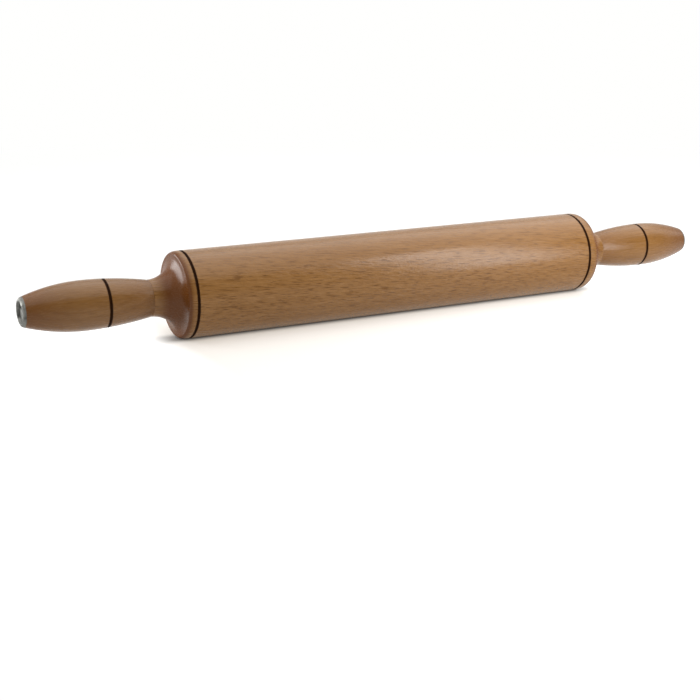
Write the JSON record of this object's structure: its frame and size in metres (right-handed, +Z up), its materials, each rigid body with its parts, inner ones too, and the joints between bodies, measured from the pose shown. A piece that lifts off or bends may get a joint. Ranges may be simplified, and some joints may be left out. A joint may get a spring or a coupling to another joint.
{
  "type": "rolling pin",
  "caption": "Turned beech rolling pin: a straight barrel with coved ends that turns on a steel axle between swelled handles with dished steel tips.",
  "frame": {"origin": "middle of the pin, on the axis that the barrel turns about", "axes": "+X along the pin's axis towards the right handle, +Z up out of the surface that the barrel rests on, +Y away from the person using it"},
  "size_m": [0.5008, 0.0548, 0.0548],
  "materials": {
    "beech_barrel": "satin clear lacquer over beech, burnt rings",
    "beech_handle": "satin clear lacquer over beech, burnt ring",
    "steel": "dull turned steel",
    "nylon": "natural nylon"
  },
  "bodies": {
    "barrel": {"barrel": "beech_barrel", "left_bush": "nylon", "right_bush": "nylon"},
    "handles": {"axle": "steel", "left_thrust_washer": "steel", "right_thrust_washer": "steel", "left_handle": "beech_handle", "right_handle": "beech_handle", "left_end_cup": "steel", "right_end_cup": "steel", "left_lock_washer": "steel", "right_lock_washer": "steel", "left_end_nut": "steel", "right_end_nut": "steel"}
  },
  "joints": [
    {"name": "handle_spin", "type": "hinge", "parent": "barrel", "child": "handles", "pos_m": [0, 0, 0], "axis": [1, 0, 0], "continuous": true}
  ]
}
